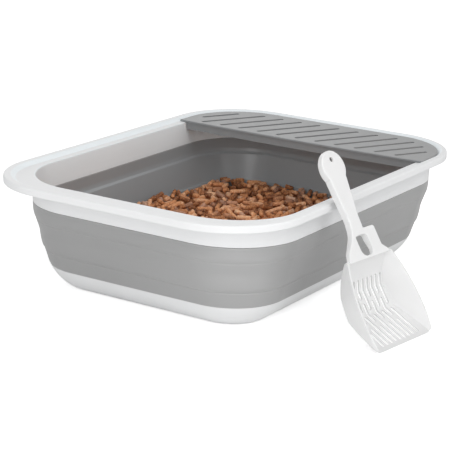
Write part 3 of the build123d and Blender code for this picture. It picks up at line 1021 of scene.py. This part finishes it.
@dataclass
class LitterBed:
    """The bed of loose wood pellets, each one modelled where it comes to rest on those below.

    The litter is a low heap in front, with a swell and a ripple, and lies lower under the
    platform and its apron. The pellets fall onto a map of heights with square cells. The packed
    bed's sides are corners, given as in SoftWall, up from the tray's floor.
    """

    shape: BoxShape
    pellet: Pellet = Pellet()
    seed: int = 11
    back_level: float = 47.2
    heap: float = 5.0
    heap_end: float = 118.0
    heap_run: float = 150.0
    tilt: float = 0.014
    swell: float = 0.8
    swell_width: float = 37.0
    swell_length: float = 45.0
    swell_shift: float = 1.0
    ripple: float = 0.6
    ripple_length: float = 23.0
    wall_inset: float = 12.4
    wall_slope: float = 0.42
    wall_touch: float = 0.95
    nesting: float = 0.92
    steepest: float = 0.8
    feelers: int = 7
    fall_x: Range = (-165.0, 165.0)
    fall_y: Range = (-215.0, 235.0)
    cell: float = 2.0
    margin: int = 6
    layers: float = 10.0
    most: int = 3600
    tries: int = 7
    most_misses: int = 260
    unfilled: float = 1.2
    apron_start: float = 128.0
    apron_end: float = 160.0
    apron_headroom: float = 48.6
    platform_headroom: float = 52.0
    bed_rise: float = 1.0
    bed_middle_inset: float = 60.0
    bed_sides: tuple[Place, ...] = (
        (-43.2, 3.2, 1.0),
        (-29.0, 12.5, 4.0),
        (-19.4, 25.5, 2.0),
    )
    bed_top_inset: float = 19.2
    bed_top_round: float = 1.0
    origin: Point = (0.0, 0.0)
    heights: np.ndarray = field(default_factory=lambda: np.zeros(0))

    def target(self, x: np.ndarray, y: np.ndarray) -> np.ndarray:
        """The height that the litter is filled to.

        Args:
            x: The places along X.
            y: The places along Y.

        Returns:
            The heights there.
        """
        forward = np.clip((self.heap_end - y) / self.heap_run, 0.0, 1.0)
        rise = forward * forward * (3 - 2 * forward)
        swell = self.swell * np.sin(x / self.swell_width + self.swell_shift)
        ripple = self.ripple * np.sin((x + y) / self.ripple_length)
        waves = swell * np.cos(y / self.swell_length) + ripple
        return self.back_level + self.heap * rise - self.tilt * x + waves

    def inside(self, x: np.ndarray, y: np.ndarray) -> np.ndarray:
        """How far places are inside the wall.

        Args:
            x: The places along X.
            y: The places along Y.

        Returns:
            The distances to the wall, less than 0 outside it.
        """
        mouth = self.shape.numbers(Station(Outline.MOUTH, -self.wall_inset, 0.0))
        half_width, half_length, radius, centre, _ = mouth
        past_x = np.abs(x) - (half_width - radius)
        past_y = np.abs(y - centre) - (half_length - radius)
        outside = np.hypot(np.maximum(past_x, 0), np.maximum(past_y, 0))
        return radius - outside - np.minimum(np.maximum(past_x, past_y), 0)

    def lean(self, along: np.ndarray, under: np.ndarray) -> float:
        """How steeply a pellet leans on what is under it.

        Args:
            along: The places along the pellet, from its middle.
            under: The heights under them.

        Returns:
            The slope of the highest line, at its middle, from under one half to under the other.
        """
        half = self.feelers // 2
        best, slope = -math.inf, 0.0
        for low in range(half + 1):
            for high in range(half, self.feelers):
                if low == high:
                    middle, lean = under[half], 0.0
                else:
                    lean = (under[high] - under[low]) / (along[high] - along[low])
                    middle = under[low] - lean * along[low]
                if middle > best:
                    best, slope = middle, lean
        return float(np.clip(slope, -self.steepest, self.steepest))

    def drop(self, x: float, y: float, yaw: float, length: float) -> Place | None:
        """Where a pellet comes to rest.

        Args:
            x: The place of its middle along X.
            y: The place of its middle along Y.
            yaw: Its direction seen from above.
            length: Its length.

        Returns:
            The height of its middle, its slope and how full the place is, or None if it doesn't
            fit between the walls.
        """
        along = np.linspace(-length / 2, length / 2, self.feelers)
        px, py = x + along * math.cos(yaw), y + along * math.sin(yaw)
        room = self.inside(px, py).min() - self.pellet.radius * self.wall_touch
        if room < 0:
            return None
        ix = ((px - self.origin[0]) / self.cell).astype(int)
        iy = ((py - self.origin[1]) / self.cell).astype(int)
        under = np.full(self.feelers, -np.inf)
        for dx in (-1, 0, 1):
            for dy in (-1, 0, 1):
                under = np.maximum(under, self.heights[ix + dx, iy + dy])
        slope = self.lean(along, under)
        middle = float((under - slope * along).max()) + self.pellet.radius * self.nesting
        if room < (self.back_level - middle) * self.wall_slope:
            return None
        return middle, slope, middle - float(self.target(np.array(x), np.array(y)))

    def headroom(self, y: float) -> float:
        """How high the litter may reach, so that the platform clears it when the box is folded.

        Args:
            y: The place along Y.

        Returns:
            The height.
        """
        if y <= self.apron_start:
            return math.inf
        return self.apron_headroom if y < self.apron_end else self.platform_headroom

    def pile(
        self, x: float, y: float, yaw: float, length: float, middle: float, slope: float
    ) -> None:
        """Raises the map of heights where a pellet lies.

        Args:
            x: The place of its middle along X.
            y: The place of its middle along Y.
            yaw: Its direction seen from above.
            length: Its length.
            middle: The height of its middle.
            slope: How steeply it leans.
        """
        radius = self.pellet.radius
        reach = length / 2 + radius
        x0, x1 = (int((x + s * reach - self.origin[0]) / self.cell) for s in (-1, 1))
        y0, y1 = (int((y + s * reach - self.origin[1]) / self.cell) for s in (-1, 1))
        gx = self.origin[0] + np.arange(x0, x1 + 1)[:, None] * self.cell - x
        gy = self.origin[1] + np.arange(y0, y1 + 1)[None, :] * self.cell - y
        along = gx * math.cos(yaw) + gy * math.sin(yaw)
        off = -gx * math.sin(yaw) + gy * math.cos(yaw)
        crown = np.sqrt(np.clip(radius**2 - off**2, 0, None))
        top = middle + slope * along + crown
        covered = (np.abs(along) < length / 2) & (np.abs(off) < radius)
        patch = self.heights[x0 : x1 + 1, y0 : y1 + 1]
        patch[...] = np.where(covered, np.maximum(patch, top), patch)

    def settle(self) -> list[tuple[float, ...]]:
        """Lets pellets fall until the litter is as high as it should be.

        Returns:
            Each pellet's middle, direction, slope and length.
        """
        rng = np.random.default_rng(self.seed)
        (low_x, high_x), (low_y, high_y) = self.fall_x, self.fall_y
        self.origin = (low_x - self.margin * self.cell, low_y - self.margin * self.cell)
        spare = 2 * self.margin + 1
        cells_x = int((high_x - low_x) / self.cell) + spare
        cells_y = int((high_y - low_y) / self.cell) + spare
        gx = self.origin[0] + np.arange(cells_x)[:, None] * self.cell
        gy = self.origin[1] + np.arange(cells_y)[None, :] * self.cell
        self.heights = self.target(gx, gy) - self.layers
        lying: list[tuple[float, ...]] = []
        misses = 0
        while len(lying) < self.most and misses < self.most_misses:
            best = None
            for _ in range(self.tries):
                x, y = rng.uniform(low_x, high_x), rng.uniform(low_y, high_y)
                yaw = rng.uniform(0, math.pi)
                length = rng.triangular(*self.pellet.lengths)
                rest = self.drop(x, y, yaw, length)
                if rest and (best is None or rest[2] < best[0]):
                    best = (rest[2], x, y, yaw, length, rest[0], rest[1])
            if best is None:
                continue
            over, x, y, yaw, length, middle, slope = best
            top = middle + abs(slope) * length / 2 + self.pellet.radius
            if over > -self.unfilled or top > self.headroom(y):
                misses += 1
                continue
            misses = 0
            self.pile(x, y, yaw, length, middle, slope)
            lying.append((x, y, middle, yaw, slope, length))
        return lying

    def pellets(self) -> bpy.types.Object:
        """Builds every pellet, all of them as one piece.

        Returns:
            The pellets.
        """
        rng = np.random.default_rng(self.seed + 1)
        lying = self.settle()
        single = self.pellet.faces()
        bodies: list[np.ndarray] = []
        faces: list[Face] = []
        start = 0
        for x, y, z, yaw, slope, length in lying:
            spin = rng.uniform(0, math.pi)
            body = self.pellet.points(rng, length)
            turn = (
                Matrix.Rotation(yaw, 3, "Z")
                @ Matrix.Rotation(-math.atan(slope), 3, "Y")
                @ Matrix.Rotation(spin, 3, "X")
            )
            bodies.append(body @ np.array(turn).T + np.array((x, y, z)))
            faces += [tuple(start + spot for spot in face) for face in single]
            start += len(body)
        LOG.info("pellets: %d", len(lying))
        piece = mesh_piece("litter_pellets", np.vstack(bodies) * MM, faces)
        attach(piece, "base")
        return piece

    def bed(self) -> bpy.types.Object:
        """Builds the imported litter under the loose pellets.

        Returns:
            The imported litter.
        """
        _, floor, _ = self.bed_sides[0]
        top = self.back_level - self.layers + self.bed_rise
        section = [
            Station(Outline.MOUTH, -self.bed_middle_inset, floor),
            *(Station(Outline.MOUTH, *corner) for corner in self.bed_sides),
            Station(Outline.MOUTH, -self.bed_top_inset, top, self.bed_top_round),
            Station(Outline.MOUTH, -self.bed_middle_inset, top),
        ]
        piece = ring_piece("litter_underlay", self.shape, self.shape.eased(section, False), False)
        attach(piece, "base")
        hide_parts("litter_bed")
        return piece

    def build(self) -> list[bpy.types.Object]:
        """Builds the bed and its pellets."""
        return [self.bed(), self.pellets()]


# Stage


@dataclass(frozen=True)
class Lamp:
    """A soft rectangular lamp: where it stands, its width and height, and its power in watts."""

    name: str
    place: Place
    size: Point
    power: float


@dataclass
class Studio:
    """The camera, the air, the floor and the lamps.

    The camera's right, up and back are the directions of its axes, as fitted to the photograph.
    The pool is a painted pool of light: a place where the floor glows, seen only in reflections,
    which paints a bright reflection onto the walls nearby.
    """

    camera_place: Place = (1.0156, -1.6062, 0.6100)
    right: Place = (0.83761203, 0.54546287, 0.02960299)
    up: Place = (-0.17714474, 0.2199613, 0.95928972)
    back: Place = (0.51674541, -0.80875663, 0.28086811)
    lens: float = 131.2
    sensor: float = 36.0
    ambient: float = 0.69
    mirrored_air: float = 0.8
    pool_place: Place = (0.25, -0.37, 0.0)
    pool_radius: float = 0.35
    floor_half: float = 6.0
    floor_tones: tuple[Colour, Colour] = ((0.86, 0.86, 0.86), (0.88, 0.88, 0.88))
    floor_noise: Noise = (3.0, 2.0)
    floor_roughness: float = 0.9
    floor_glow: Colour = (0.26, 0.26, 0.26)
    glow_strength: float = 2.0
    target: Place = (0.0, 0.0, 0.08)
    lamps: tuple[Lamp, ...] = (
        Lamp("right_key", (1.66, -0.67, 0.60), (0.3, 0.9), 2.2),
        Lamp("left_key", (0.41, -1.71, 0.60), (0.4, 0.9), 4.7),
        Lamp("low_front", (1.45, -1.72, 0.15), (0.8, 0.24), 4.0),
        Lamp("high_front", (0.35, -0.9, 1.5), (0.9, 0.6), 1.0),
        Lamp("back_fill", (-1.3, 1.5, 0.45), (1.2, 0.7), 2.6),
        Lamp("high_right", (1.1, -0.35, 1.1), (0.6, 0.6), 2.9),
    )

    def camera(self) -> None:
        """Puts the camera where the photograph was taken from."""
        data = bpy.data.cameras.new("camera")
        data.lens = self.lens
        data.sensor_width = self.sensor
        camera = bpy.data.objects.new("camera", data)
        axes = Matrix((self.right, self.up, self.back)).transposed().to_4x4()
        camera.matrix_world = Matrix.Translation(self.camera_place) @ axes
        bpy.context.scene.collection.objects.link(camera)
        bpy.context.scene.camera = camera

    def air(self) -> None:
        """Makes the air a plain pale light, seen as white by the camera and in reflections."""
        world = bpy.data.worlds.new("air")
        bpy.context.scene.world = world
        world.use_nodes = True
        nodes = Nodes(world.node_tree)
        seen = nodes.sum("MAXIMUM", nodes.ray("Camera"), nodes.ray("Transmission"))
        white = nodes.sum("MAXIMUM", seen, nodes.ray("Glossy") * self.mirrored_air)
        background = world.node_tree.nodes["Background"]
        nodes.feed(background.inputs["Color"], WHITE)
        strength = nodes.span(white, (0.0, 1.0), (self.ambient, 1.0))
        nodes.feed(background.inputs["Strength"], strength)

    def floor(self) -> None:
        """Lays the floor, which looks white, keeps a faint shadow and glows in a painted pool of
        light that only reflections show.
        """
        graph = Graph("studio_floor")
        # Painted light: a pool where the floor glows for glossy rays only, so that the walls nearby
        # show a painted reflection.
        away = graph.vector("DISTANCE", graph.place(), self.pool_place, out=1)
        pool = graph.span(away, (0.0, self.pool_radius), (1.0, 0.0), "SMOOTHSTEP")
        glow = graph.mix(pool * graph.ray("Glossy"), BLACK, WHITE)
        graph.set(
            Base_Color=graph.mix(graph.noise(*self.floor_noise), *self.floor_tones),
            Roughness=self.floor_roughness,
            Emission_Color=graph.mix(graph.ray("Camera"), glow, self.floor_glow),
            Emission_Strength=self.glow_strength,
        )
        half = self.floor_half
        corners = np.array(((-half, -half, 0), (half, -half, 0), (half, half, 0), (-half, half, 0)))
        floor = mesh_piece("studio_floor", corners, [(0, 1, 2, 3)], smooth=False)
        floor.data.materials.append(graph.material)

    def light(self, lamp: Lamp) -> None:
        """Sets up one lamp, which points at the box.

        Args:
            lamp: The lamp.
        """
        data = bpy.data.lights.new(lamp.name, "AREA")
        data.shape = "RECTANGLE"
        data.size, data.size_y = lamp.size
        data.energy = lamp.power
        light = bpy.data.objects.new(lamp.name, data)
        light.location = lamp.place
        light.rotation_mode = "QUATERNION"
        aim = Vector(self.target) - Vector(lamp.place)
        light.rotation_quaternion = aim.to_track_quat("-Z", "Y")
        bpy.context.scene.collection.objects.link(light)

    def build(self) -> None:
        """Sets up the whole stage."""
        bpy.context.scene.view_settings.view_transform = "Standard"
        self.camera()
        self.air()
        self.floor()
        for lamp in self.lamps:
            self.light(lamp)


def main() -> None:
    """Builds the whole scene in order."""
    logging.basicConfig(level=logging.INFO, format="%(name)s: %(message)s")
    shape = BoxShape()
    wardrobe = Wardrobe()
    Studio().build()
    for piece, finish in (
        (RimFrame(shape).build(), Finish.WHITE),
        (SoftWall(shape).build(), Finish.SOFT),
        (BaseTray(shape).build(), Finish.WHITE),
    ):
        wardrobe.dress(piece, finish)
        LOG.info("built %s", piece.name)
    for piece in LitterBed(shape).build():
        wardrobe.dress(piece, Finish.LITTER)
        LOG.info("built %s", piece.name)
    for node, finish in (("grille_platform", Finish.PLATFORM), ("litter_scoop", Finish.SCOOP)):
        wardrobe.dress(frame["nodes"][node], finish)
        LOG.info("dressed %s", node)


if __name__ == "__main__":
    main()
